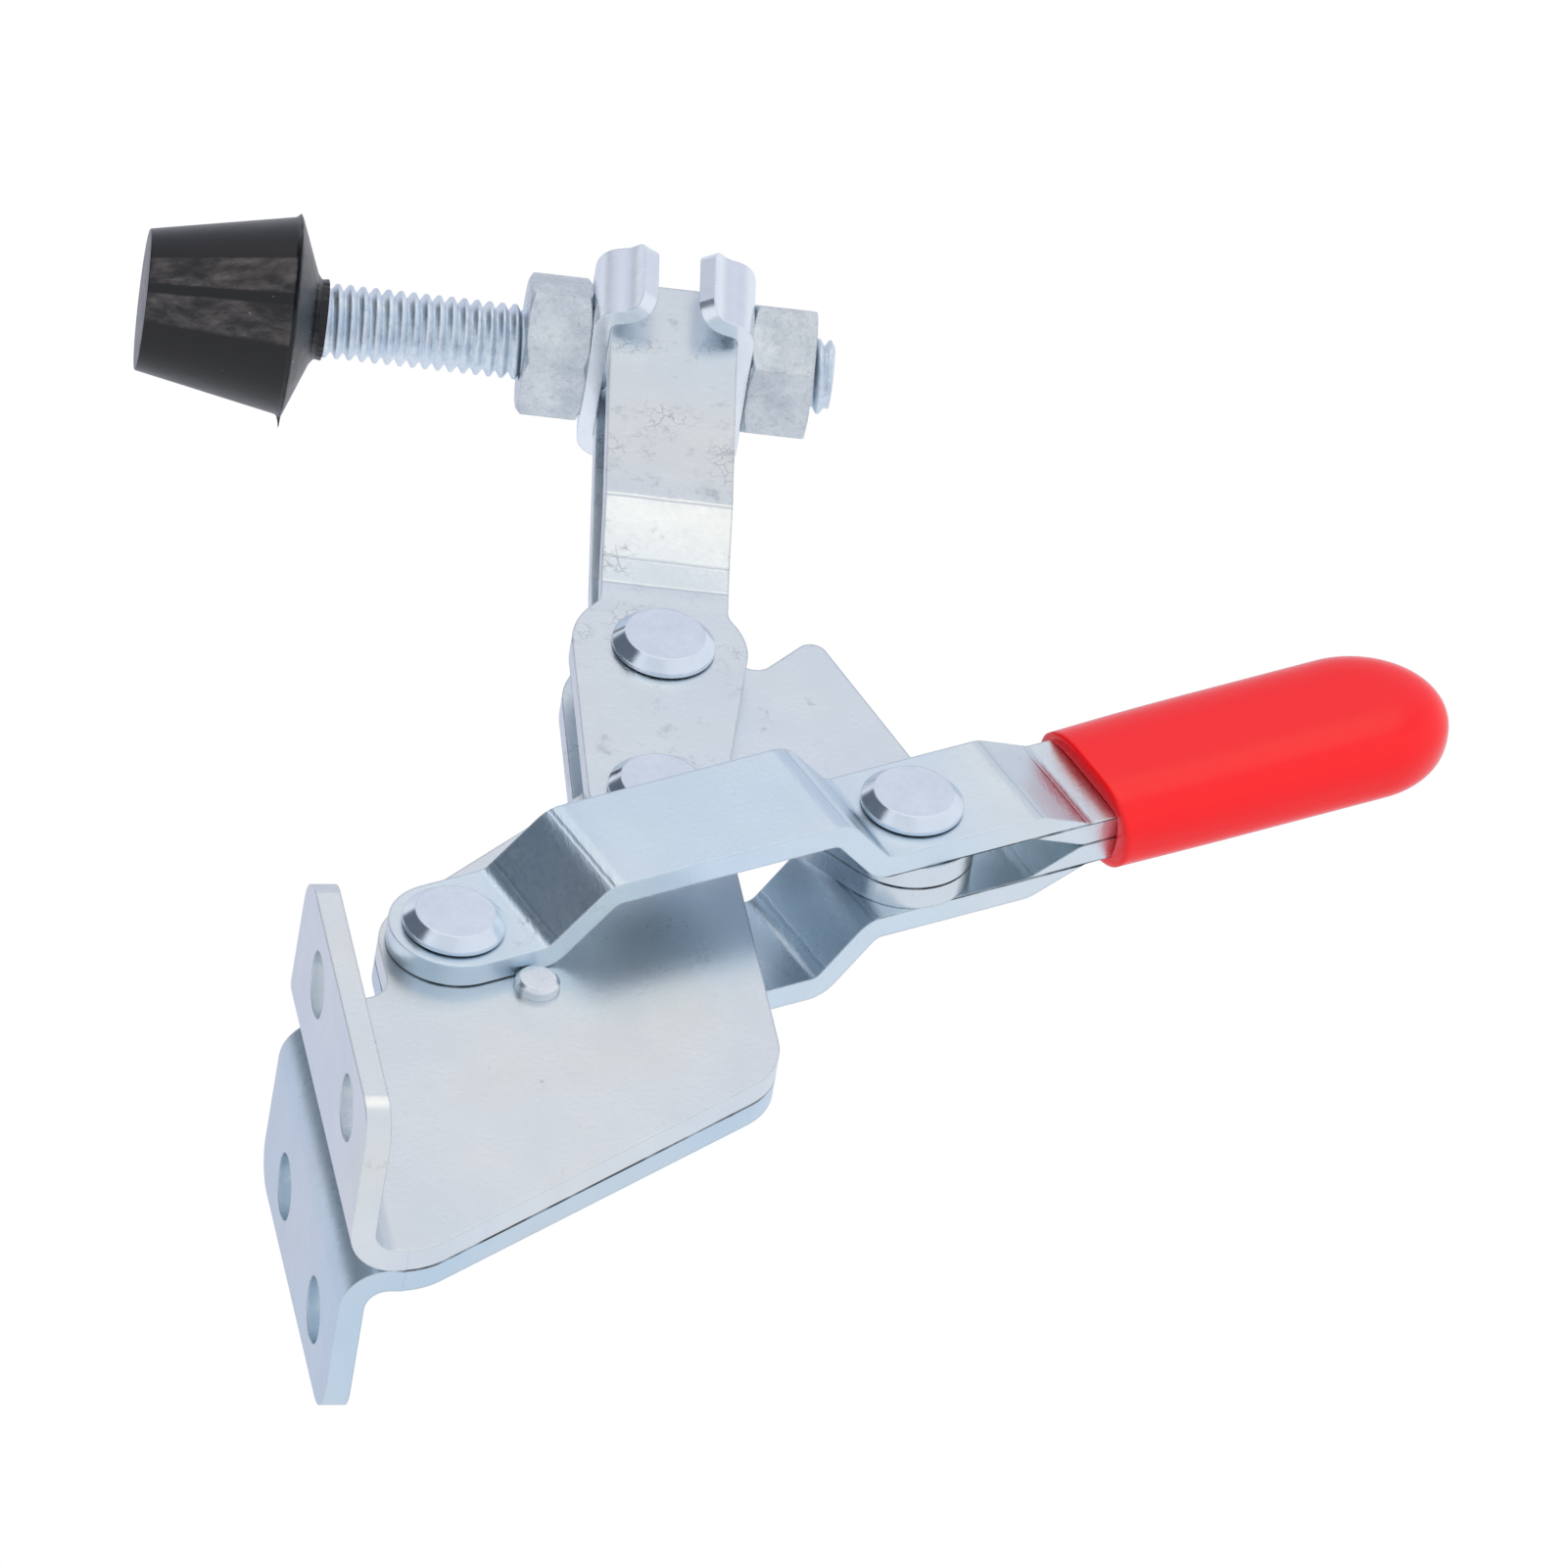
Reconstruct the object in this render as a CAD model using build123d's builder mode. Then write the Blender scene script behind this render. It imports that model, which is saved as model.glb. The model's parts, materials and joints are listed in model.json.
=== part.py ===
from build123d import *
import math
import os

# Toggle clamp, vertical-mount type with a flanged base, in its open pose. Millimetres.
# The origin is the middle of the four bolt holes and Z = 0 is the face they bolt to.
# +X runs out along the clamp arm and +Y is the axis of every rivet.

# Sheet and running gaps
sheet = 2.0  # thickness of every stamped plate
side_gap = 0.02  # between plates that slide over each other
layer = sheet + side_gap  # inner face of the arm plates and handle straps
past = 1.0  # how far blanks and cutters reach past the shape they meet

# Pivots, as (X, Z)
handle_pivot = (22.07, 13.75)
arm_pivot = (38.20, 32.52)
handle_link_pivot = (36.81, 52.33)
link_arm_pivot = (56.07, 35.69)

# Rivets
rivet_r = 2.5
rivet_fit = 0.05  # radial clearance where a plate turns on a rivet
rivet_head_r = 4.05
rivet_face_r = 3.15
rivet_head_h = 1.35
rivet_edge_h = 0.5  # up to where the head's bevel starts
rivet_undercut = 0.3

# Base plates: two mirrored angles, back to back
flange_front = 15.6
flange_rear = -14.9
flange_half_width = 15.0
flange_corner_r = 3.0
bend_in = 1.8
bend_out = bend_in + sheet
hole_pitch_x = 14.8
hole_half_pitch_y = 10.1
hole_r = 2.65
web_top = arm_pivot[1] + 5.3
web_lobe_r = 5.3
web_foot_lobe_r = 5.6
web_rear_slope = math.radians(55.25)
web_rear_point = (0.96, 29.05)  # a point on the slanted rear edge
web_rear_corner_r = 6.5
web_rear_foot_r = 7.0
web_step_r = 2.5

# Stop pin beside the handle
stop_r = 1.75
stop_along = 3.8
stop_proud = 1.0  # above the web's outer face
stop_chamfer = 0.3
stop_gap = 0.08

# Handle
handle_angle = math.degrees(
    math.atan2(
        handle_link_pivot[1] - handle_pivot[1], handle_link_pivot[0] - handle_pivot[0]
    )
)
handle_span = math.dist(handle_pivot, handle_link_pivot)
strap_half_width = 5.1
strap_raise = 4.6  # how far the bowed stretch stands out from the flats
strap_ramp_up = (6.1, 11.1)
strap_ramp_down = (31.8, 36.0)
strap_close_in = (50.0, 54.8)  # where the straps come together below the grip
strap_end = 88.0
strap_bend_r = 2.1
grip_start = 57.2
grip_end = 89.7
grip_half_width = 6.9
grip_offset = 0.12  # the dip is a little thicker on the rear edge
grip_rim_front = 6.5
grip_rim_rear = 6.9
grip_widest = 70.0  # where the grip reaches its full width
grip_half_thick = 3.5
grip_round = 3.1

# Link
link_end_r = 5.4
link_arm_end_r = 5.2
link_top_drop = 4.2  # how far the straight top edge passes from the handle pivot
link_top_slope = -19.6
link_nose_x = 59.8
link_nose_r = 1.2
link_throat = (55.1, 43.2)
link_throat_r = 1.5

# Clamp arm
arm_rear_r = 5.3
arm_lobe_r = 6.9
arm_drop = 0.25  # how far the round ends stand below the rivets' line
arm_neck_r = 2.0
arm_corner_r = 0.6
arm_half_height = 5.0
arm_angle = math.degrees(
    math.atan2(link_arm_pivot[1] - arm_pivot[1], link_arm_pivot[0] - arm_pivot[0])
)
arm_span = math.dist(arm_pivot, link_arm_pivot)
arm_tip = 43.5  # open end of the strips, from the link pivot
arm_first_bend = (7.2, 10.2)
arm_ramp_end = 17.0
arm_first_step = 0.2
arm_jog = 1.3  # total outward step of the front strips
arm_bend_r = 1.6

# Spindle group, measured along its own axis from the middle of the arm
spindle_from_tip = 2.2  # back from the open end of the strips
spindle_along = arm_tip - spindle_from_tip
spindle_r = 2.95
nut_flats = 10.0
nut_h = 5.0
nut_bore_r = 3.0
nut_turn = 22.5
nut_gap = 0.03
nut_chamfer_r = 5.1  # radius where the end bevels start
nut_chamfer_slope = 0.5
washer_t = 1.3
washer_half_length = 4.0
washer_fold = 6.5  # the sheet's middle line would turn sharply down here
washer_knee = (7.3, 2.6)  # then outwards here, above the arm's middle line
washer_tip = (8.35, 2.2)  # and ends here
washer_corner_r = 1.1
washer_hole_r = 3.3
washer_bend_r = 1.3
thread_below_nut = 15.6
thread_above_nut = 1.7
cap_collar_r = 3.15
cap_collar_h = 0.85
cap_back_h = 1.9
cap_wide_r = 8.1
cap_narrow_r = 5.6
cap_cone_h = 11.7
cap_socket_depth = 9.0
cap_tip_bevel = 0.5
rod_chamfer = 0.5
nut_seat = arm_half_height + side_gap + washer_t + nut_gap  # inner face of each nut
rod_top = nut_seat + nut_h + thread_above_nut
cap_top = -(nut_seat + nut_h + thread_below_nut)

# Frames of the leaning parts: local x along the part, local y across it, local z out towards +Y
handle_plane = Plane(
    origin=(handle_pivot[0], 0, handle_pivot[1]),
    x_dir=(math.cos(math.radians(handle_angle)), 0, math.sin(math.radians(handle_angle))),
    z_dir=(0, 1, 0),
)
arm_plane = Plane(
    origin=(link_arm_pivot[0], 0, link_arm_pivot[1]),
    x_dir=(math.cos(math.radians(arm_angle)), 0, math.sin(math.radians(arm_angle))),
    z_dir=(0, 1, 0),
)
# Across the spindle: local z is the spindle's own axis, pointing away from the rubber cap
spindle_plane = Plane(
    origin=arm_plane.from_local_coords(Vector(spindle_along, 0, 0)),
    x_dir=arm_plane.x_dir,
    z_dir=(-math.sin(math.radians(arm_angle)), 0, math.cos(math.radians(arm_angle))),
)

# The stop pin stands against the handle's rear edge
stop_across = -(strap_half_width + stop_r + stop_gap)
stop_centre = handle_plane.from_local_coords(Vector(stop_along, stop_across, 0))


def side_plane(y):
    """Plane at height y on the rivet axis, drawn with X to the right and Z up, facing -Y."""
    return Plane(origin=(0, y, 0), x_dir=(1, 0, 0), z_dir=(0, -1, 0))


def polar(centre, radius, degrees):
    """Point at an angle round a centre, in the X-Z drawing."""
    a = math.radians(degrees)
    return (centre[0] + radius * math.cos(a), centre[1] + radius * math.sin(a))


def tangent_angle(c1, r1, c2, r2, left):
    """Angle of the shared normal of two circles' outer tangent, on the left or right of c1 to c2."""
    heading = math.degrees(math.atan2(c2[1] - c1[1], c2[0] - c1[0]))
    lean = math.degrees(math.asin((r2 - r1) / math.dist(c1, c2)))
    return heading + 90 + lean if left else heading - 90 - lean


def round_corner(sketch, corner, radius):
    """Rounds the sketch's corner nearest to a point of its own drawing."""
    fillet(sketch.vertices().sort_by_distance((*corner, 0))[0], radius=radius)


def bent_sheet(path, thickness, radius, low, high):
    """Box of sheet metal that follows a path in the local x-z drawing, from low to high across it."""
    with BuildPart() as folded:
        with BuildSketch(Plane.XZ.offset(-high)):
            with BuildLine():
                FilletPolyline(*path, radius=radius)
            trace(line_width=thickness)
        extrude(amount=high - low)
    return folded.part


def rivet(pivot, inner, outer):
    """Rivet on +-Y: the shank from -outer to +outer with a bevelled head on both ends, split at inner."""
    with BuildPart() as made:
        with BuildSketch(Plane.YZ):
            with BuildLine():
                Polyline(
                    (inner, 0),
                    (inner, rivet_r),
                    (outer, rivet_r),
                    (outer, rivet_head_r - rivet_undercut),
                    (outer + rivet_undercut / 2, rivet_head_r),
                    (outer + rivet_edge_h, rivet_head_r),
                    (outer + rivet_head_h, rivet_face_r),
                    (outer + rivet_head_h, 0),
                    (inner, 0),
                )
            make_face()
        revolve(axis=Axis.Y)
        if inner <= 0:
            mirror(about=Plane.XZ)
    return Pos(pivot[0], 0, pivot[1]) * made.part


# ---------------------------------------------------------------- base
def base_plate():
    """Front half of the base: flange, bend and web in one stamped angle, on the +Y side."""
    rear_run = (math.cos(web_rear_slope), math.sin(web_rear_slope))
    rear_foot_z = web_rear_point[1] + (flange_rear - web_rear_point[0]) * math.tan(web_rear_slope)
    rear_top_x = web_rear_point[0] + (web_top - web_rear_point[1]) * rear_run[0] / rear_run[1]
    front = tangent_angle(handle_pivot, web_foot_lobe_r, arm_pivot, web_lobe_r, left=False)
    foot_z = handle_pivot[1] - web_foot_lobe_r
    with BuildPart() as plate:
        with BuildSketch(Plane.YZ.offset(flange_rear)) as angle:
            with BuildLine():
                Polyline(
                    (0, 0),
                    (flange_half_width, 0),
                    (flange_half_width, sheet),
                    (sheet, sheet),
                    (sheet, bend_out + past),
                    (0, bend_out + past),
                    (0, 0),
                )
            make_face()
            round_corner(angle, (0, 0), bend_out)
            round_corner(angle, (sheet, sheet), bend_in)
        extrude(amount=flange_front - flange_rear)
        tips = plate.edges().filter_by(Axis.Z).group_by(Axis.Y)[-1]
        fillet(tips, radius=flange_corner_r)
        with BuildSketch(side_plane(sheet)) as web:
            with BuildLine():
                Line((flange_rear, bend_out), (flange_rear, rear_foot_z))
                Line((flange_rear, rear_foot_z), (rear_top_x, web_top))
                Line((rear_top_x, web_top), (arm_pivot[0], web_top))
                ThreePointArc(
                    (arm_pivot[0], web_top),
                    polar(arm_pivot, web_lobe_r, (90 + front) / 2),
                    polar(arm_pivot, web_lobe_r, front),
                )
                Line(
                    polar(arm_pivot, web_lobe_r, front),
                    polar(handle_pivot, web_foot_lobe_r, front),
                )
                ThreePointArc(
                    polar(handle_pivot, web_foot_lobe_r, front),
                    polar(handle_pivot, web_foot_lobe_r, (front - 90) / 2),
                    (handle_pivot[0], foot_z),
                )
                Line((handle_pivot[0], foot_z), (flange_front, foot_z))
                Line((flange_front, foot_z), (flange_front, bend_out))
                Line((flange_front, bend_out), (flange_rear, bend_out))
            make_face()
            round_corner(web, (flange_front, foot_z), web_step_r)
            round_corner(web, (rear_top_x, web_top), web_rear_corner_r)
            round_corner(web, (flange_rear, rear_foot_z), web_rear_foot_r)
        extrude(amount=sheet)
        with Locations((0, hole_half_pitch_y, sheet / 2)):
            with GridLocations(hole_pitch_x, 1, 2, 1):
                Cylinder(hole_r, sheet + past, mode=Mode.SUBTRACT)
        for pivot in (handle_pivot, arm_pivot):
            with Locations(Pos(pivot[0], sheet / 2, pivot[1]) * Rot(X=90)):
                Cylinder(rivet_r, sheet + past, mode=Mode.SUBTRACT)
        with Locations(Pos(stop_centre.X, sheet / 2, stop_centre.Z) * Rot(X=90)):
            Cylinder(stop_r, sheet + past, mode=Mode.SUBTRACT)
    return plate.part


# ---------------------------------------------------------------- handle
def handle_strap():
    """Front handle strap: a bowed strip, flat at both rivets and closing on its twin under the grip."""
    flat = layer + sheet / 2
    closed = (side_gap + sheet) / 2
    path = [
        (-strap_half_width - past, flat),
        (strap_ramp_up[0], flat),
        (strap_ramp_up[1], flat + strap_raise),
        (strap_ramp_down[0], flat + strap_raise),
        (strap_ramp_down[1], flat),
        (strap_close_in[0], flat),
        (strap_close_in[1], closed),
        (strap_end, closed),
    ]
    reach = strap_half_width + past
    blank = bent_sheet(path, sheet, strap_bend_r, -reach, reach)
    with BuildPart() as strap:
        with BuildSketch():
            SlotCenterToCenter(2 * strap_end - 2 * strap_half_width, 2 * strap_half_width)
            Rectangle(
                2 * strap_end,
                4 * strap_half_width,
                align=(Align.MAX, Align.CENTER),
                mode=Mode.SUBTRACT,
            )
            Circle(strap_half_width)
        extrude(amount=flat + strap_raise + sheet)
        add(blank, mode=Mode.INTERSECT)
        Cylinder(rivet_r + rivet_fit, 4 * flat, mode=Mode.SUBTRACT)
        with Locations((handle_span, 0)):
            Cylinder(rivet_r, 4 * flat, mode=Mode.SUBTRACT)
    return handle_plane.location * strap.part


def handle_grip():
    """Vinyl grip dipped over both straps: a flat bar with rounded long edges and a round end."""
    centre = grip_end - grip_half_width
    front = grip_half_width - grip_offset
    rear = -grip_half_width - grip_offset
    with BuildPart() as grip:
        with BuildSketch():
            with BuildLine():
                Polyline(
                    (centre, rear),
                    (grip_widest, rear),
                    (grip_start, -grip_rim_rear),
                    (grip_start, grip_rim_front),
                    (grip_widest, front),
                    (centre, front),
                )
                ThreePointArc((centre, front), (grip_end, -grip_offset), (centre, rear))
            make_face()
        extrude(amount=grip_half_thick, both=True)
        flat_sides = grip.faces().filter_by(Axis.Z)
        long_edges = [e for e in flat_sides.edges() if e.center().X > grip_start + past]
        fillet(long_edges, radius=grip_round)
        with BuildSketch():
            SlotCenterToCenter(2 * strap_end - 2 * strap_half_width, 2 * strap_half_width)
        extrude(amount=sheet + side_gap / 2, both=True, mode=Mode.SUBTRACT)
    return handle_plane.location * grip.part


# ---------------------------------------------------------------- link
def link_plate():
    """Front link plate: a three-cornered stamping round its two rivet holes."""
    top_run = Vector(math.cos(math.radians(link_top_slope)), math.sin(math.radians(link_top_slope)))
    top_up = Vector(-top_run.Y, top_run.X)
    pivot = Vector(*handle_link_pivot)
    back_off = math.sqrt(link_end_r**2 - link_top_drop**2)
    top_start = pivot + top_up * link_top_drop - top_run * back_off
    nose_run = (link_nose_x - top_start.X) / top_run.X
    nose = top_start + top_run * nose_run
    low = tangent_angle(handle_link_pivot, link_end_r, link_arm_pivot, link_arm_end_r, left=False)
    to_throat = Vector(*link_throat) - Vector(*link_arm_pivot)
    throat_dir = math.degrees(math.atan2(to_throat.Y, to_throat.X))
    side = throat_dir - math.degrees(math.acos(link_arm_end_r / to_throat.length))
    with BuildPart() as plate:
        with BuildSketch(side_plane(sheet)) as outline:
            with BuildLine():
                Line((top_start.X, top_start.Y), (nose.X, nose.Y))
                Line((nose.X, nose.Y), link_throat)
                Line(link_throat, polar(link_arm_pivot, link_arm_end_r, side))
                ThreePointArc(
                    polar(link_arm_pivot, link_arm_end_r, side),
                    polar(link_arm_pivot, link_arm_end_r, (side + low) / 2),
                    polar(link_arm_pivot, link_arm_end_r, low),
                )
                Line(
                    polar(link_arm_pivot, link_arm_end_r, low),
                    polar(handle_link_pivot, link_end_r, low),
                )
                ThreePointArc(
                    polar(handle_link_pivot, link_end_r, low),
                    polar(handle_link_pivot, link_end_r, 180),
                    (top_start.X, top_start.Y),
                )
            make_face()
            round_corner(outline, link_throat, link_throat_r)
            round_corner(outline, (nose.X, nose.Y), link_nose_r)
        extrude(amount=sheet)
        for hole in (handle_link_pivot, link_arm_pivot):
            with Locations(Pos(hole[0], sheet / 2, hole[1]) * Rot(X=90)):
                Cylinder(rivet_r + rivet_fit, sheet + past, mode=Mode.SUBTRACT)
    return plate.part


# ---------------------------------------------------------------- clamp arm
def arm_plate():
    """Front arm plate: flat round both rivets, then stepped outwards into a straight strip."""
    flat = layer + sheet / 2
    strip = flat + arm_jog
    path = [
        (-arm_span - arm_rear_r - past, flat),
        (arm_first_bend[0], flat),
        (arm_first_bend[1], flat + arm_first_step),
        (arm_ramp_end, strip),
        (arm_tip + past, strip),
    ]
    reach = arm_lobe_r + arm_drop + past
    front_end = (0, arm_drop)
    rear_end = (-arm_span, arm_drop)
    blank = bent_sheet(path, sheet, arm_bend_r, -reach, reach)
    with BuildPart() as plate:
        with BuildSketch() as outline:
            Rectangle(arm_tip, 2 * arm_half_height, align=(Align.MIN, Align.CENTER))
            fillet(outline.vertices().group_by(Axis.X)[-1], radius=arm_corner_r)
            with Locations(front_end):
                Circle(arm_lobe_r)
            for corner in (-1, 1):
                rise = corner * arm_half_height - arm_drop
                neck = (math.sqrt(arm_lobe_r**2 - rise**2), corner * arm_half_height)
                round_corner(outline, neck, arm_neck_r)
            with Locations(rear_end):
                Circle(arm_rear_r)
            side = math.degrees(math.acos((arm_rear_r - arm_lobe_r) / arm_span))
            with BuildLine():
                Polyline(
                    polar(rear_end, arm_rear_r, side),
                    polar(front_end, arm_lobe_r, side),
                    polar(front_end, arm_lobe_r, -side),
                    polar(rear_end, arm_rear_r, -side),
                    polar(rear_end, arm_rear_r, side),
                )
            make_face()
        extrude(amount=strip + sheet)
        add(blank, mode=Mode.INTERSECT)
        Cylinder(rivet_r, 4 * flat, mode=Mode.SUBTRACT)
        with Locations((-arm_span, 0)):
            Cylinder(rivet_r + rivet_fit, 4 * flat, mode=Mode.SUBTRACT)
    return arm_plane.location * plate.part


# ---------------------------------------------------------------- spindle group
def flanged_washer():
    """Upper flanged washer: a plate across both strips with a wing down over each, its lip turned out."""
    top = arm_half_height + side_gap + washer_t / 2
    right = [(washer_fold, top), washer_knee, washer_tip]
    left = [(-y, z) for y, z in reversed(right)]
    blank = bent_sheet(left + right, washer_t, washer_bend_r, -washer_half_length, washer_half_length)
    with BuildPart() as washer:
        with BuildSketch() as plan:
            Rectangle(2 * washer_half_length, 2 * washer_tip[0])
            fillet(plan.vertices(), radius=washer_corner_r)
        extrude(amount=2 * top)
        add(Rot(Z=90) * blank, mode=Mode.INTERSECT)
        Cylinder(washer_hole_r, 4 * top, mode=Mode.SUBTRACT)
    return washer.part


def nut():
    """Hexagon nut with both ends bevelled, standing on its own origin."""
    with BuildPart() as made:
        with BuildSketch():
            RegularPolygon(nut_flats / 2, 6, major_radius=False, rotation=nut_turn)
        extrude(amount=nut_h)
        corner_r = nut_flats / math.sqrt(3)
        drop = (corner_r - nut_chamfer_r) * nut_chamfer_slope
        with BuildSketch(Plane.XZ):
            with BuildLine():
                Polyline(
                    (0, 0),
                    (nut_chamfer_r, 0),
                    (corner_r, drop),
                    (corner_r, nut_h - drop),
                    (nut_chamfer_r, nut_h),
                    (0, nut_h),
                    (0, 0),
                )
            make_face()
        revolve(axis=Axis.Z, mode=Mode.INTERSECT)
        Cylinder(nut_bore_r, 4 * nut_h, mode=Mode.SUBTRACT)
    return made.part


def spindle_rod():
    """Threaded rod at its nominal diameter, from its free end down into the rubber cap."""
    with BuildPart() as rod:
        with Locations((0, 0, rod_top)):
            Cylinder(
                spindle_r,
                rod_top - cap_top + cap_socket_depth,
                align=(Align.CENTER, Align.CENTER, Align.MAX),
            )
        chamfer(rod.edges().group_by(Axis.Z)[-1], length=rod_chamfer)
    return rod.part


def rubber_cap():
    """Rubber bumper: a collar, a shallow back and a long cone with a blind socket for the rod."""
    rim = cap_top - cap_collar_h - cap_back_h
    with BuildPart() as cap:
        with BuildSketch(Plane.XZ):
            with BuildLine():
                Polyline(
                    (0, cap_top),
                    (cap_collar_r, cap_top),
                    (cap_collar_r, cap_top - cap_collar_h),
                    (cap_wide_r, rim),
                    (cap_narrow_r, rim - cap_cone_h),
                    (0, rim - cap_cone_h),
                    (0, cap_top),
                )
            make_face()
        revolve(axis=Axis.Z)
        with Locations((0, 0, cap_top)):
            Cylinder(
                spindle_r,
                2 * cap_socket_depth,
                mode=Mode.SUBTRACT,
            )
        chamfer(cap.edges().group_by(Axis.Z)[0], length=cap_tip_bevel)
    return cap.part


def stop_pin():
    """Pin through both webs that stops the handle's rear edge."""
    with BuildPart() as pin:
        Cylinder(stop_r, 2 * (sheet + stop_proud))
        chamfer(pin.edges().group_by(Axis.Z)[0], length=stop_chamfer)
        chamfer(pin.edges().group_by(Axis.Z)[-1], length=stop_chamfer)
    return Pos(stop_centre.X, 0, stop_centre.Z) * Rot(X=90) * pin.part


def flipped(shape):
    """The shape's mirror image on the other side of the clamp's middle plane."""
    return mirror(shape, about=Plane.XZ)


def underside(shape):
    """A spindle part turned half round to the arm's lower side."""
    return Rot(Y=180) * shape


moving_face = layer + sheet  # outer face of the arm plates and handle straps
base_plate_front = base_plate()
handle_strap_front = handle_strap()
link_plate_front = link_plate()
arm_plate_front = arm_plate()
rivet_link_arm_front = rivet(link_arm_pivot, layer, moving_face)
washer = flanged_washer()
upper_nut = Pos(0, 0, nut_seat) * nut()
nodes = {
    "base_plate_front": base_plate_front,
    "base_plate_back": flipped(base_plate_front),
    "stop_pin": stop_pin(),
    "rivet_handle_base": rivet(handle_pivot, 0, moving_face + side_gap),
    "rivet_arm_base": rivet(arm_pivot, 0, moving_face + side_gap),
    "handle_strap_front": handle_strap_front,
    "handle_strap_back": flipped(handle_strap_front),
    "handle_grip": handle_grip(),
    "rivet_handle_link": rivet(handle_link_pivot, 0, moving_face),
    "link_plate_front": link_plate_front,
    "link_plate_back": flipped(link_plate_front),
    "arm_plate_front": arm_plate_front,
    "arm_plate_back": flipped(arm_plate_front),
    "rivet_link_arm_front": rivet_link_arm_front,
    "rivet_link_arm_back": flipped(rivet_link_arm_front),
    "washer_upper": spindle_plane.location * washer,
    "washer_lower": spindle_plane.location * underside(washer),
    "nut_upper": spindle_plane.location * upper_nut,
    "nut_lower": spindle_plane.location * underside(upper_nut),
    "spindle_rod": spindle_plane.location * spindle_rod(),
    "rubber_cap": spindle_plane.location * rubber_cap(),
}

os.makedirs("parts", exist_ok=True)
for name, part in nodes.items():
    part.label = name
    export_step(part, f"parts/{name}.step")
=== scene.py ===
import json
import math

import bmesh
import bpy
import numpy as np
from mathutils import Matrix, Vector


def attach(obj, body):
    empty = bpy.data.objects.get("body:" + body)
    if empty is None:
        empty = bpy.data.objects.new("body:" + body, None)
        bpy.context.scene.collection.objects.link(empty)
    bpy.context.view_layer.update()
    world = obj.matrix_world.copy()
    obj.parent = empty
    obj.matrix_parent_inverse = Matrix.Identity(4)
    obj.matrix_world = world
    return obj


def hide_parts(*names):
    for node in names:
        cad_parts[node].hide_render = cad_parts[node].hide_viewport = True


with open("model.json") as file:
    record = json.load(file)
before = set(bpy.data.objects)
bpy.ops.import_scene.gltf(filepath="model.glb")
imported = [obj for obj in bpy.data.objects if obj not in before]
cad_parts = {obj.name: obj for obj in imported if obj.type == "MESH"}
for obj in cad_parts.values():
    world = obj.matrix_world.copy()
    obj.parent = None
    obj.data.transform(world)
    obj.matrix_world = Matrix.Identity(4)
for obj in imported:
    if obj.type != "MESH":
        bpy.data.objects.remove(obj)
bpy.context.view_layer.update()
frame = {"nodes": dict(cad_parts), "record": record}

MM = 0.001

# Pivots and directions shared with the solids, in millimetres
handle_pivot = np.array((22.07, 0.0, 13.75))
handle_link_pivot = np.array((36.81, 0.0, 52.33))
arm_pivot = np.array((38.20, 0.0, 32.52))
link_arm_pivot = np.array((56.07, 0.0, 35.69))
across = np.array((0.0, 1.0, 0.0))
handle_along = (handle_link_pivot - handle_pivot) / np.linalg.norm(handle_link_pivot - handle_pivot)
handle_side = np.cross(across, handle_along)
arm_along = (link_arm_pivot - arm_pivot) / np.linalg.norm(link_arm_pivot - arm_pivot)
spindle_axis = np.cross(arm_along, across)
spindle_centre = link_arm_pivot + 41.3 * arm_along

# Dipped grip, in distances along the handle from its pivot
grip_start = 57.2
grip_end = 89.7
grip_widest = 70.0
grip_round_length = 8.0  # of the half-oval end
grip_half_width = 6.9
grip_rim_front = 6.5  # half width of the front side at the rim
grip_half_thick = 3.5
grip_edge_reach = 5.4  # of the rounded edge, in from the outline
grip_edge_power = 2.5  # of the edge's curve: 2 is a circle, more is squarer
grip_side_half = 0.25  # flat left between the two rounded halves
grip_offset = 0.12  # of the wide part from the straps' middle
grip_rim_back = 0.12  # of the rim's outer edge behind the rim's front
grip_mouth = ((1.0, 0.56), (0.92, 0.18), (0.6, 0.01), (0.18, 0.08))  # share of the way in, distance back
strap_half_width = 5.1
strap_half_stack = 2.01  # both straps, closed on each other
strap_sink = 0.1  # of the vinyl into the straps, so that no gap shows

# Threaded rod and rubber cap, in heights along the spindle from the arm's middle line
rod_top = 13.05
rod_bevel_slope = 1.6
rod_top_edge = 0.02  # height of the last bevel round the rod's end
cap_top = -26.95
thread_bottom = cap_top - 1.0
thread_pitch = 1.0
thread_crest_r = 2.95
thread_root_r = 2.45
thread_steps = 48  # to a turn
# Shares of the pitch and of the depth
thread_profile = ((0.0, 0.0), (0.10, 0.0), (0.42, 0.94), (0.5, 1.0), (0.62, 1.0), (0.70, 0.94))
cap_collar_h = 0.85
cap_back_h = 1.9
cap_cone_h = 11.7
cap_collar_r = 3.15
cap_wide_r = 8.1
cap_narrow_r = 5.6
cap_inset = 0.02  # inside the solid's outline
cap_flash_in = (0.32, 0.36)  # from the widest radius: below and above the flash
cap_flash_rise = (-0.35, 0.16)  # heights of the same two corners from the flash
cap_neck_out = 0.45
cap_neck_rise = (-0.1, 0.25)
cap_edge_r = 0.12
cap_steps = 240
tag_length = 0.75  # torn end of the flash
tag_width = 2.2  # degrees
tag_turn = 88.0  # degrees on from the side with the bands
flash_waver = 0.05
collar_waver = 0.075
scuff_and_sheen_degrees = ((-36.0, -12.5), (-6.5, 18.0))  # the two bands of rubbing and painted reflection
scuff_and_sheen_edge = 1.0  # degrees over which a band fades
toward_viewer = 141.5  # degrees round the spindle, from the arm's run towards +Y, of the bands' middle

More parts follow.
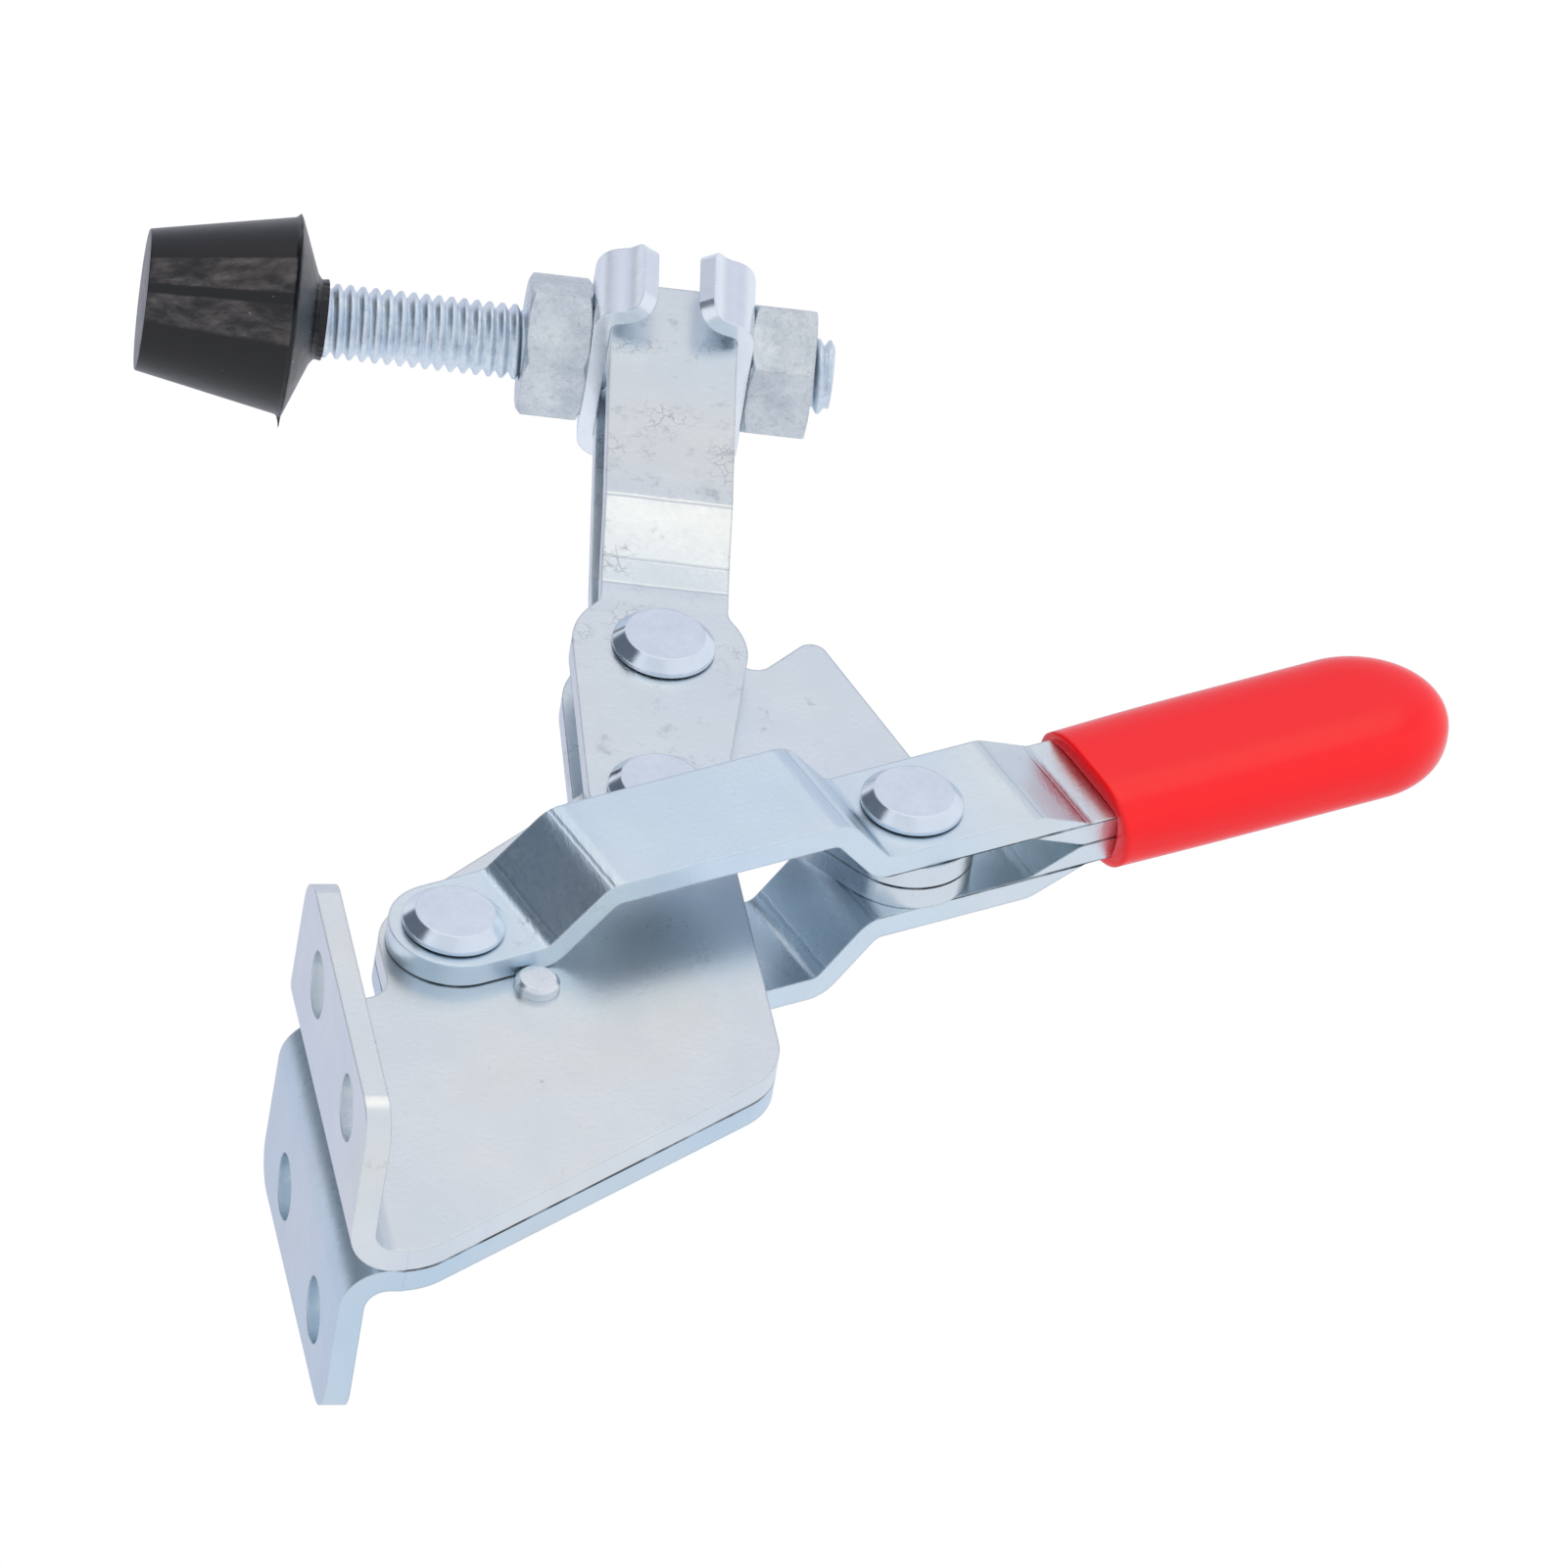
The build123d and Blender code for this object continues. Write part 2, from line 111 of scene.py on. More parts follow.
# Folded washers, in distances across the arm and heights out from its middle line
washer_t = 1.3
washer_top = 5.67  # middle of the washer's flat
washer_half_length = 4.0
washer_flat_end = 4.2
washer_path = ((washer_flat_end, washer_top), (6.4, washer_top), (6.95, 2.95), (8.35, 2.2))
washer_bend_r = 1.25
washer_corner_r = 1.5
washer_hole_r = 3.3
washer_crease_angle = 35.0  # degrees past which its edges are sharp


# ---------------------------------------------------------------- shapes
def mesh_piece(name, points, faces):
    """Smooth object at the origin from points in millimetres and whole-array faces."""
    mesh = bpy.data.meshes.new(name)
    mesh.from_pydata((points * MM).tolist(), [], faces.tolist())
    mesh.validate()
    mesh.polygons.foreach_set("use_smooth", np.full(len(mesh.polygons), True))
    mesh.update()
    piece = bpy.data.objects.new(name, mesh)
    bpy.context.scene.collection.objects.link(piece)
    return piece


def grid_faces(rows, cols, wrap):
    """Quads between neighbouring rows and columns of a grid. Wrap joins the last column to the first."""
    row = np.arange(rows - 1)[:, None] * cols
    col = np.arange(cols if wrap else cols - 1)[None, :]
    here = row + col
    side = row + (col + 1) % cols
    quads = np.stack((here, side, side + cols, here + cols), axis=-1)
    return quads.reshape(-1, 4)


def turned(profile, steps):
    """Profile of (radius, height) carried once round the spindle: each point is the spindle's centre + height
    times its axis + radius times the turned direction, cos(angle) * the arm's run + sin(angle) * the side."""
    profile = np.asarray(profile, float)
    side = np.cross(spindle_axis, arm_along)
    angle = np.linspace(0, 2 * np.pi, steps, endpoint=False)
    ring = np.cos(angle)[:, None] * arm_along + np.sin(angle)[:, None] * side
    points = (
        spindle_centre
        + profile[:, 1, None, None] * spindle_axis
        + profile[:, 0, None, None] * ring[None, :, :]
    )
    return points.reshape(-1, 3), grid_faces(len(profile), steps, True)


def rounded(corners, radius, steps=5):
    """Polyline with each inner corner replaced by a parabola between its two sides: (1 - t)^2 * enter
    + 2 t (1 - t) * corner + t^2 * leave. A side between two corners gives each less than half of itself."""
    corners = np.asarray(corners, float)
    before = corners[:-2] - corners[1:-1]
    after = corners[2:] - corners[1:-1]
    longest = np.full(len(corners) - 1, 0.45)
    longest[0] = longest[-1] = 0.95
    reach_before = np.minimum(radius / np.linalg.norm(before, axis=1), longest[:-1])
    reach_after = np.minimum(radius / np.linalg.norm(after, axis=1), longest[1:])
    enter = corners[1:-1] + before * reach_before[:, None]
    leave = corners[1:-1] + after * reach_after[:, None]
    t = np.linspace(0, 1, steps)[None, :, None]
    middle = 2 * t * (1 - t) * corners[1:-1, None]
    bends = (1 - t) ** 2 * enter[:, None] + middle + t**2 * leave[:, None]
    return np.vstack((corners[:1], bends.reshape(-1, 2), corners[-1:]))


def thread():
    """Screw thread: one 60-degree profile carried up a helix, where height = pitch * (angle / turn + share of
    pitch) and radius = root + depth * share of depth. Each turn shares its edge with the next. The helix is
    levelled at both ends and bevelled at the free one."""
    profile = np.array(thread_profile)
    turns = int(math.ceil((rod_top - thread_bottom) / thread_pitch)) + 1
    count = turns * thread_steps + 1
    angle = np.arange(count + thread_steps) * 2 * np.pi / thread_steps
    climb = thread_pitch * (angle[:, None] / (2 * np.pi) + profile[None, :, 0])
    height = thread_bottom - thread_pitch + climb
    radius = thread_root_r + (thread_crest_r - thread_root_r) * profile[None, :, 1]
    bevel = thread_root_r + np.maximum(rod_top - height, 0) * rod_bevel_slope
    radius = np.minimum(radius, bevel)
    height = np.clip(height, thread_bottom, rod_top)
    side = np.cross(spindle_axis, arm_along)
    ring = np.cos(angle)[:, None] * arm_along + np.sin(angle)[:, None] * side
    points = spindle_centre + height[..., None] * spindle_axis + radius[..., None] * ring[:, None, :]
    cols = len(profile)
    index = np.arange((count + thread_steps) * cols).reshape(-1, cols)
    rows = index[:count]
    upper = np.concatenate((rows[:, 1:], index[thread_steps:, :1][:count]), axis=1)
    quads = np.stack((rows[:-1], rows[1:], upper[1:], upper[:-1]), axis=-1).reshape(-1, 4)
    end = [(0.0, rod_top), (thread_root_r * 0.6, rod_top), (thread_root_r, rod_top - rod_top_edge)]
    end_points, end_faces = turned(end, thread_steps)
    points = np.vstack((points.reshape(-1, 3), end_points))
    faces = np.vstack((quads, end_faces + (count + thread_steps) * cols))
    return mesh_piece("threaded_rod", points, faces)


def scuff_and_sheen_bands(turn):
    """Share of rubbing and painted reflection at each angle round the cap: two bands with a clean stripe
    between them. A band's share is its rise from the low edge times its fall to the high edge."""
    degrees = np.degrees(turn) - toward_viewer
    degrees = (degrees + 180) % 360 - 180
    share = np.zeros_like(degrees)
    for low, high in scuff_and_sheen_degrees:
        rise = np.clip((degrees - low) / scuff_and_sheen_edge, 0, 1)
        fall = np.clip((high - degrees) / scuff_and_sheen_edge, 0, 1)
        share = np.maximum(share, rise * fall)
    return share


def rubber_bumper():
    """Cap: a profile turned round the spindle. Its widest edge carries a thin moulding flash that grows
    outwards by a bell curve round its height, with one torn tag that is a bell curve round its angle. Bands
    of rubbing and painted reflection are kept as an attribute for the rubber."""
    rim = cap_top - cap_collar_h - cap_back_h
    tip = rim - cap_cone_h
    neck = cap_top - cap_collar_h
    corners = [
        (0.0, tip),
        (cap_narrow_r - cap_inset, tip),
        (cap_wide_r - cap_flash_in[0], rim + cap_flash_rise[0]),
        (cap_wide_r - cap_inset, rim - cap_inset),
        (cap_wide_r - cap_flash_in[1], rim + cap_flash_rise[1]),
        (cap_collar_r + cap_neck_out, neck + cap_neck_rise[0]),
        (cap_collar_r, neck + cap_neck_rise[1]),
        (cap_collar_r, cap_top),
        (thread_root_r, cap_top),
    ]
    profile = rounded(corners, cap_edge_r)
    points, faces = turned(profile, cap_steps)
    turn = np.linspace(0, 2 * np.pi, cap_steps, endpoint=False)
    angle = np.tile(turn, len(profile))
    out = points - spindle_centre
    level = out @ spindle_axis
    radial = out - level[:, None] * spindle_axis
    radius = np.linalg.norm(radial, axis=1)
    tag = np.exp(-(((angle - math.radians(toward_viewer + tag_turn)) / math.radians(tag_width)) ** 2))
    ragged = np.sin(23 * angle) * np.sin(7 * angle + 1.0)
    on_flash = np.exp(-(((level - rim) / 0.12) ** 2)) * (radius > cap_wide_r - 0.2)
    on_collar = np.exp(-(((level - cap_top) / 0.3) ** 2)) * (radius > cap_collar_r - 0.1)
    grow = on_flash * (tag_length * tag + flash_waver * ragged) + on_collar * collar_waver * ragged
    points = points + radial / np.maximum(radius, 0.01)[:, None] * grow[:, None]
    piece = mesh_piece("rubber_bumper", points, faces)
    on_cone = (level < rim - 0.3) & (level > tip + 0.05)
    # Bands of rubbed filler and painted reflection, turned towards the camera
    scuff_and_sheen = scuff_and_sheen_bands(angle) * on_cone
    piece.data.attributes.new("scuff_and_sheen", "FLOAT", "POINT").data.foreach_set("value", scuff_and_sheen)
    return piece


def flanged_washer(name, side):
    """Washer folded from sheet. Its flat is a ring of quads from the hole to the flat's outline; from there
    one wing on each side follows a path down and outwards. At a distance e from its lip a wing is as long as
    a corner circle of radius r allows: half length - r + sqrt(r^2 - (r - e)^2). Side is 1 above the arm, -1
    below."""
    path = rounded(washer_path, washer_bend_r, 14)
    run = np.concatenate(((0.0,), np.cumsum(np.linalg.norm(np.diff(path, axis=0), axis=1))))
    corner_start = run[-1] - washer_corner_r
    corner = corner_start + washer_corner_r * np.sin(np.linspace(0, np.pi / 2, 26))
    along = np.concatenate((np.linspace(0, corner_start, 40)[:-1], corner))
    line = np.stack((np.interp(along, run, path[:, 0]), np.interp(along, run, path[:, 1])), axis=1)
    heading = np.gradient(line, axis=0)
    heading /= np.linalg.norm(heading, axis=1)[:, None]
    heading[0] = (1.0, 0.0)
    outward = np.stack((-heading[:, 1], heading[:, 0]), axis=1) * washer_t / 2
    left = np.maximum(washer_corner_r - (run[-1] - along), 0)
    left = np.minimum(left, 0.995 * washer_corner_r)
    half = washer_half_length - washer_corner_r + np.sqrt(washer_corner_r**2 - left**2)
    lean = math.atan2(washer_half_length, washer_flat_end)
    front = np.linspace(-lean, lean, 25)
    flank = np.linspace(lean, math.pi - lean, 41)
    spread = washer_flat_end * np.tan(front) / washer_half_length

    def sheet_side(sign):
        """One face of a wing: (half length * spread, distance out, height) on a grid."""
        edge = line + sign * outward
        x = half[:, None] * spread[None, :]
        y = np.repeat(edge[:, :1], len(spread), axis=1)
        z = np.repeat(edge[:, 1:], len(spread), axis=1)
        return np.stack((x, y, z), axis=-1)

    def ring(height):
        """One face of the flat: from the hole to the rectangle, along rays from the middle."""
        turn = np.concatenate((front[:-1], flank[:-1], front[:-1] + math.pi, flank[:-1] + math.pi, front[:1]))
        reach = np.minimum(
            washer_flat_end / np.maximum(np.abs(np.cos(turn)), 1e-9),
            washer_half_length / np.maximum(np.abs(np.sin(turn)), 1e-9),
        )
        share = np.linspace(0, 1, 5)[:, None]
        radius = washer_hole_r + (reach[None, :] - washer_hole_r) * share
        level = np.full_like(radius, height)
        return np.stack((radius * np.sin(turn), radius * np.cos(turn), level), axis=-1)

    outer = sheet_side(1)
    inner = sheet_side(-1)
    top = ring(washer_top + washer_t / 2)
    bottom = ring(washer_top - washer_t / 2)
    walls = [np.stack((top[0], bottom[0]))]
    first = len(front) - 1
    last = first + len(flank) - 1
    for start, end in ((first, last + 1), (last + first, last + first + len(flank))):
        walls.append(np.stack((top[-1, start:end], bottom[-1, start:end])))
    wing = [outer, inner, np.stack((outer[-1], inner[-1]))]
    wing += [np.stack((outer[:, k], inner[:, k])) for k in (0, -1)]
    grids = [top, bottom] + walls + wing + [grid * (1, -1, 1) for grid in wing]
    points = []
    faces = []
    count = 0
    for grid in grids:
        rows, cols = grid.shape[:2]
        points.append(grid.reshape(-1, 3))
        faces.append(grid_faces(rows, cols, False) + count)
        count += rows * cols
    local = np.vstack(points)
    place = (
        spindle_centre
        + side * local[:, :1] * arm_along
        + local[:, 1:2] * across
        + side * local[:, 2:] * spindle_axis
    )
    piece = mesh_piece(name, place, np.vstack(faces))
    joined = bmesh.new()
    joined.from_mesh(piece.data)
    bmesh.ops.remove_doubles(joined, verts=joined.verts, dist=0.001 * MM)
    bmesh.ops.recalc_face_normals(joined, faces=joined.faces)
    joined.to_mesh(piece.data)
    joined.free()
    piece.data.set_sharp_from_angle(angle=math.radians(washer_crease_angle))
    return piece


def grip():
    """Dipped grip: cross-sections along the handle. Each one is as wide as a bar with a half-oval end. At a
    distance d in from its outline, its thickness follows (1 - (1 - d / reach)^p)^(1/p), which meets the flat
    top without a ridge. The rim rolls in to the straps, which stand out of its mouth."""
    centre = grip_end - grip_round_length
    straight = np.linspace(grip_start, centre, 44)
    tip = centre + grip_round_length * np.sin(np.linspace(0, np.pi / 2, 30)[1:])
    s = np.concatenate((straight, tip))
    widening = np.clip((s - grip_start) / (grip_widest - grip_start), 0, 1)
    widening = widening * (2 - widening)
    front = grip_rim_front + (grip_half_width - grip_rim_front) * widening
    past = np.clip((s - centre) / grip_round_length, 0, 1)
    psi = np.linspace(-np.pi / 2, np.pi / 2, 49)
    side_width = np.where(psi[None, :] > 0, front[:, None], grip_half_width)
    n = side_width * np.sqrt(1 - past[:, None] ** 2) * np.sin(psi)[None, :]
    d = side_width * (1 - np.sqrt(past[:, None] ** 2 + (n / side_width) ** 2))
    d = np.clip(d / grip_edge_reach, 0, 1)
    top = grip_half_thick * (1 - (1 - d) ** grip_edge_power) ** (1 / grip_edge_power)
    top = np.maximum(top, grip_side_half)
    loop_n = np.concatenate((n, n[:, ::-1]), axis=1) - grip_offset * widening[:, None]
    loop_y = np.concatenate((top, -top[:, ::-1]), axis=1)
    loop_s = np.repeat(s[:, None], loop_n.shape[1], axis=1)
    loop_s[0] = grip_start + grip_rim_back
    inner_n = loop_n[0] * (strap_half_width - strap_sink / 2) / grip_half_width
    inner_y = np.clip(loop_y[0], strap_sink - strap_half_stack, strap_half_stack - strap_sink)
    mouth = []
    for share, back in grip_mouth:
        row_n = loop_n[0] + (inner_n - loop_n[0]) * share
        row_y = loop_y[0] + (inner_y - loop_y[0]) * share
        row_s = np.full_like(row_n, grip_start + back)
        mouth.append(np.stack((row_s, row_n, row_y), axis=-1))
    rows = np.concatenate((np.stack(mouth), np.stack((loop_s, loop_n, loop_y), axis=-1)))
    along, aside, out = np.split(rows, 3, axis=-1)
    points = handle_pivot + along * handle_along + aside * handle_side + out * across
    return mesh_piece("dipped_grip", points.reshape(-1, 3), grid_faces(*rows.shape[:2], True))


# ---------------------------------------------------------------- materials
def linear(code):
    """sRGB hex colour to linear RGBA."""
    value = np.array([int(code[i : i + 2], 16) for i in (1, 3, 5)]) / 255
    low = value / 12.92
    high = ((value + 0.055) / 1.055) ** 2.4
    return (*np.where(value <= 0.04045, low, high).tolist(), 1.0)


def add(tree, kind, inputs=(), stops=(), **settings):
    """Adds a shader node, sets its properties and its ramp's stops, and fills or links its inputs, which are
    given in order, or by name or number. A node that is given as an input is linked by its first output."""
    node = tree.nodes.new("ShaderNode" + kind)
    for key, value in settings.items():
        setattr(node, key, value)
    keyed = inputs if isinstance(inputs, dict) else dict(enumerate(inputs))
    for key, value in keyed.items():
        if isinstance(value, bpy.types.Node):
            value = value.outputs[0]
        if isinstance(value, bpy.types.NodeSocket):
            tree.links.new(value, node.inputs[key])
        else:
            node.inputs[key].default_value = value
    for number, (position, code) in enumerate(stops):
        elements = node.color_ramp.elements
        stop = elements[number] if number < len(elements) else elements.new(position)
        stop.position = position
        stop.color = linear(code)
    return node


def new_material(name):
    """Empty node material."""
    material = bpy.data.materials.new(name)
    material.use_nodes = True
    material.node_tree.nodes.clear()
    return material, material.node_tree


# Patterns on plated sheet: size in millimetres, detail, roughness. The real rolling grain and the streaks of
# shearing are finer than can be seen, and are drawn as coarse as they need to show.
sheet_patterns = {
    "drift": (24.0, 2.0, 0.5),  # hue of the passivation
    "haze": (5.0, 5.0, 0.6),  # cloudy plating
    "rub": (2.2, 8.0, 0.72),  # marks of handling
    "crazed": (6.0, 3.0, 0.5),  # where the plating cracked under the press
    "seam_shade_break": (5.0, 4.0, 0.5),  # breaks up the painted shade along the seams
    "grain": (0.5, 5.0, 0.65),  # of rolling
    "waver": (3.0, 2.0, 0.5),  # of the creases
    "bending": (10 / 11, 4.0, 0.5),  # of the cracks
}
crack_cell = 10 / 9  # size of the pieces between cracks
crack_bend = 1.6  # the most that a crack is bent aside
crack_deep = 0.8  # share of the grain's relief
streak_width = 0.45
streak_stretch = (1.0, 0.06, 1.0)  # drawn out across the sheets
streak_deep = 1.8
seam_shade_reach = (0.16, 0.07)  # millimetres from a seam where its painted shade ends and where it is full
crease_reach = (0.22, 0.04)  # the same for a crease
crease_deep = 2.6
crease_shade_reach = (0.13, 0.03)  # and for the painted shade line in it
crease_shade_tone = 0.22
crease_waver = 0.05
drawn_width = 0.55  # of the marks that the press draws beside a fold
drawn_stretch = 0.15
drawn_reach = (2.6, 0.3)
drawn_deep = 4.0
sheet_edge_round = 0.25
fastener_edge_round = 0.18
plating_relief = 0.06  # height of the grain
vinyl_wave = 100 / 13
wisp_width = 1.1
wisp_stretch = (1.0, 1.0, 0.35)
filler_and_sheen_patch = 4.0
dust_speck = 0.6


def zinc_sheet(name, hues, seams=(0.0,), edges_above=-9.0, worn=0.0, pivot=None, along=None, folds=()):
    """Bright zinc plate on cold-rolled sheet. The passivation drifts between blue and straw, the sheet keeps
    rolling grain and fine cracks from stamping, and its sheared edges are streaked across. Painted shade
    darkens the edges where stacked sheets meet, broken up by noise. Edges are streaked only above a height,
    because below it lies a flange. The press leaves a fine crease and drawn marks at each fold, at a distance
    along the part from its pivot, and a grey line of painted shade runs along each crease. To the eye it is a
    satin metal whose mirror is broken up by the grain."""
    material, tree = new_material(name)
    coords = add(tree, "TexCoord")
    place = coords.outputs["Object"]
    pattern = {}
    for key, (size, detail, roughness) in sheet_patterns.items():
        inputs = {"Vector": place, "Scale": 1 / (size * MM), "Detail": detail, "Roughness": roughness}
        pattern[key] = add(tree, "TexNoise", inputs)
    xyz = add(tree, "SeparateXYZ", (place,))
    facing = add(tree, "SeparateXYZ", (coords.outputs["Normal"],))
    depth = add(tree, "Math", (xyz.outputs["Y"],), operation="ABSOLUTE")

    # Sheared edges: where the surface doesn't face across the stack
    flatness = add(tree, "Math", (facing.outputs["Y"],), operation="ABSOLUTE")
    edge = add(tree, "MapRange", (flatness, 0.35, 0.15), interpolation_type="SMOOTHSTEP")
    high = add(tree, "MapRange", (xyz.outputs["Z"], edges_above * MM, (edges_above + 1.0) * MM))
    edge = add(tree, "Math", (edge, high), operation="MULTIPLY")
    face = add(tree, "Math", (1.0, edge), operation="SUBTRACT")
    stretch = add(tree, "Mapping", {"Vector": place, "Scale": streak_stretch})
    streaks = {"Vector": stretch, "Scale": 1 / (streak_width * MM), "Detail": 4.0, "Roughness": 0.6}
    streaks = add(tree, "TexNoise", streaks)
    streaks = add(tree, "Math", (streaks, edge), operation="MULTIPLY")
    streaks = add(tree, "Math", (streaks, streak_deep), operation="MULTIPLY")

    # Haze, rubbing, cracks and painted shade where stacked sheets meet
    haze = add(tree, "MapRange", (pattern["haze"], 0.35, 0.65, 0.0, 0.16))
    rub = {0: pattern["rub"], 1: 0.60 - worn, 2: 0.74, 4: 0.55}
    rub = add(tree, "MapRange", rub, interpolation_type="SMOOTHSTEP")
    bent = (pattern["bending"].outputs["Color"], (crack_bend * MM,) * 3, place)
    bent = add(tree, "VectorMath", bent, operation="MULTIPLY_ADD")
    cells = {"Vector": bent, "Scale": 1 / (crack_cell * MM)}
    cells = add(tree, "TexVoronoi", cells, feature="DISTANCE_TO_EDGE")
    crazed = add(tree, "MapRange", (pattern["crazed"], 0.62 - worn, 0.70 - worn))
    crack = add(tree, "MapRange", (cells, 0.07, 0.01))
    crack = add(tree, "Math", (crack, crazed), operation="MULTIPLY")
    crack_tone = add(tree, "Math", (crack, 0.45), operation="MULTIPLY")
    # Painted shade: a dark line (#2b2f33) on the sheared edges where stacked sheets meet, broken up by noise
    seam_shade = 0.0
    for seam_y in seams:
        off = add(tree, "Math", (depth, seam_y * MM), operation="SUBTRACT")
        off = add(tree, "Math", (off,), operation="ABSOLUTE")
        off = add(tree, "MapRange", (off, seam_shade_reach[0] * MM, seam_shade_reach[1] * MM))
        seam_shade = add(tree, "Math", (off, seam_shade), operation="MAXIMUM")
    seam_shade_break = add(tree, "MapRange", (pattern["seam_shade_break"], 0.40, 0.55, 0.35, 1.0))
    seam_shade = add(tree, "Math", (seam_shade, edge), operation="MULTIPLY")
    seam_shade = add(tree, "Math", (seam_shade, seam_shade_break), operation="MULTIPLY")
    tones = [(haze, "#c3ccd3"), (rub, "#9aa3a9"), (crack_tone, "#7f878f"), (seam_shade, "#2b2f33")]

    # Relief: grain, less the cracks, with the edges' streaks and the folds' creases and drawn marks
    dent = add(tree, "Math", (crack, crack_deep), operation="MULTIPLY")
    relief = add(tree, "Math", (pattern["grain"], dent), operation="SUBTRACT")
    relief = add(tree, "Math", (relief, streaks), operation="ADD")
    if folds:
        from_pivot = (place, tuple((pivot * MM).tolist()))
        from_pivot = add(tree, "VectorMath", from_pivot, operation="SUBTRACT")
        station = add(tree, "VectorMath", (from_pivot, tuple(along.tolist())), operation="DOT_PRODUCT")
        waver = (pattern["waver"], 0.3, 0.7, -crease_waver * MM, crease_waver * MM)
        waver = add(tree, "MapRange", waver)
        station = add(tree, "Math", (station.outputs["Value"], waver), operation="ADD")
        drawn = add(tree, "Math", (station, drawn_stretch), operation="MULTIPLY")
        drawn = add(tree, "CombineXYZ", (drawn, xyz.outputs["Z"], depth))
        marks = {"Vector": drawn, "Scale": 1 / (drawn_width * MM), "Detail": 5.0, "Roughness": 0.7}
        marks = add(tree, "TexNoise", marks)
    for fold in folds:
        off = add(tree, "Math", (station, fold * MM), operation="SUBTRACT")
        off = add(tree, "Math", (off,), operation="ABSOLUTE")
        crease = (off, crease_reach[0] * MM, crease_reach[1] * MM, 0.0, crease_deep)
        crease = add(tree, "MapRange", crease, interpolation_type="SMOOTHSTEP")
        crease = add(tree, "Math", (crease, face), operation="MULTIPLY")
        relief = add(tree, "Math", (relief, crease), operation="SUBTRACT")
        # Painted shade: a grey line (#7b848c) on the flat faces along each crease
        line = (off, crease_shade_reach[0] * MM, crease_shade_reach[1] * MM, 0.0, crease_shade_tone)
        line = add(tree, "MapRange", line, interpolation_type="SMOOTHSTEP")
        tones.append((add(tree, "Math", (line, face), operation="MULTIPLY"), "#7b848c"))
        near = (off, drawn_reach[0] * MM, drawn_reach[1] * MM, 0.0, drawn_deep)
        near = add(tree, "MapRange", near, interpolation_type="SMOOTHSTEP")
        near = add(tree, "Math", (marks, near), operation="MULTIPLY")
        relief = add(tree, "Math", (relief, near), operation="ADD")

    colour = add(tree, "ValToRGB", (pattern["drift"],), tuple(zip((0.32, 0.50, 0.68), hues)))
    for share, code in tones:
        mix = add(tree, "Mix", {0: share, 6: colour, 7: linear(code)}, data_type="RGBA")
        colour = mix.outputs[2]
    rough = add(tree, "Math", (pattern["grain"], haze), operation="ADD")
    rough = add(tree, "MapRange", (rough, 0.30, 0.85, 0.24, 0.38))
    rounding = add(tree, "Bevel", {"Radius": sheet_edge_round * MM}, samples=4)
    bump = {"Height": relief, "Strength": 0.22, "Distance": plating_relief * MM, "Normal": rounding}
    bump = add(tree, "Bump", bump)
    zinc = {"Base Color": colour, "Metallic": 1.0, "Roughness": rough, "Normal": bump}
    add(tree, "OutputMaterial", (add(tree, "BsdfPrincipled", zinc),))
    return material


def zinc_fastener(name, tones, shine, texture, relief, pits, rim_shade_depth=0.0):
    """Bright zinc plate on headed, turned and rolled parts: blue-white metal with a texture of its own, whose
    features are so many millimetres across, and a share of small dark pits. Painted shadow darkens a rivet
    under its rim, nearer to the middle plane than the given depth. To the eye it is brighter and smoother
    than the sheet."""
    material, tree = new_material(name)
    place = add(tree, "TexCoord").outputs["Object"]
    sizes = {"cloud": (2.4, 4.0, 0.6), "forging": (texture, 6.0, 0.68), "pits": (texture * 1.4, 8.0, 0.75)}
    pattern = {}
    for key, (size, detail, roughness) in sizes.items():
        inputs = {"Vector": place, "Scale": 1 / (size * MM), "Detail": detail, "Roughness": roughness}
        pattern[key] = add(tree, "TexNoise", inputs)
    shares = []
    if rim_shade_depth:
        depth = add(tree, "SeparateXYZ", (place,)).outputs["Y"]
        depth = add(tree, "Math", (depth,), operation="ABSOLUTE")
        # Painted shadow (#202326) under the rivet's rim, next to the plate
        under = (depth, (rim_shade_depth + 0.2) * MM, (rim_shade_depth + 0.08) * MM, 0.0, 0.9)
        shares.append((add(tree, "MapRange", under), "#202326"))
    shares.append((add(tree, "MapRange", (pattern["pits"], 0.50, 0.66, 0.0, pits)), "#78828a"))
    colour = add(tree, "ValToRGB", (pattern["cloud"],), tuple(zip((0.32, 0.66), tones)))
    for share, code in shares:
        mix = add(tree, "Mix", {0: share, 6: colour, 7: linear(code)}, data_type="RGBA")
        colour = mix.outputs[2]
    rough = add(tree, "MapRange", (pattern["forging"], 0.35, 0.65, shine, shine + 0.08))
    rounding = add(tree, "Bevel", {"Radius": fastener_edge_round * MM}, samples=4)
    bump = {"Height": pattern["forging"], "Strength": relief, "Normal": rounding}
    bump = add(tree, "Bump", bump | {"Distance": plating_relief * MM})
    zinc = {"Base Color": colour, "Metallic": 1.0, "Roughness": rough, "Normal": bump}
    add(tree, "OutputMaterial", (add(tree, "BsdfPrincipled", zinc),))
    return material


def vinyl():
    """Plastisol dip: soft PVC that set from liquid, so to the eye it is glossy and its surface is slightly
    uneven, with waves 8 mm across."""
    material, tree = new_material("red_dipped_vinyl")
    place = add(tree, "TexCoord").outputs["Object"]
    wave = add(tree, "TexNoise", {"Vector": place, "Scale": 1 / (vinyl_wave * MM), "Detail": 2.0})
    bump = add(tree, "Bump", {"Height": wave, "Strength": 0.12, "Distance": 0.4 * MM})
    skin = {
        "Base Color": linear("#ff0c14"),
        "Roughness": 0.17,
        "IOR": 1.46,
        "Subsurface Weight": 0.08,
        "Subsurface Radius": (2.0 * MM, 0.6 * MM, 0.5 * MM),
        "Normal": bump,
    }
    add(tree, "OutputMaterial", (add(tree, "BsdfPrincipled", skin),))
    return material


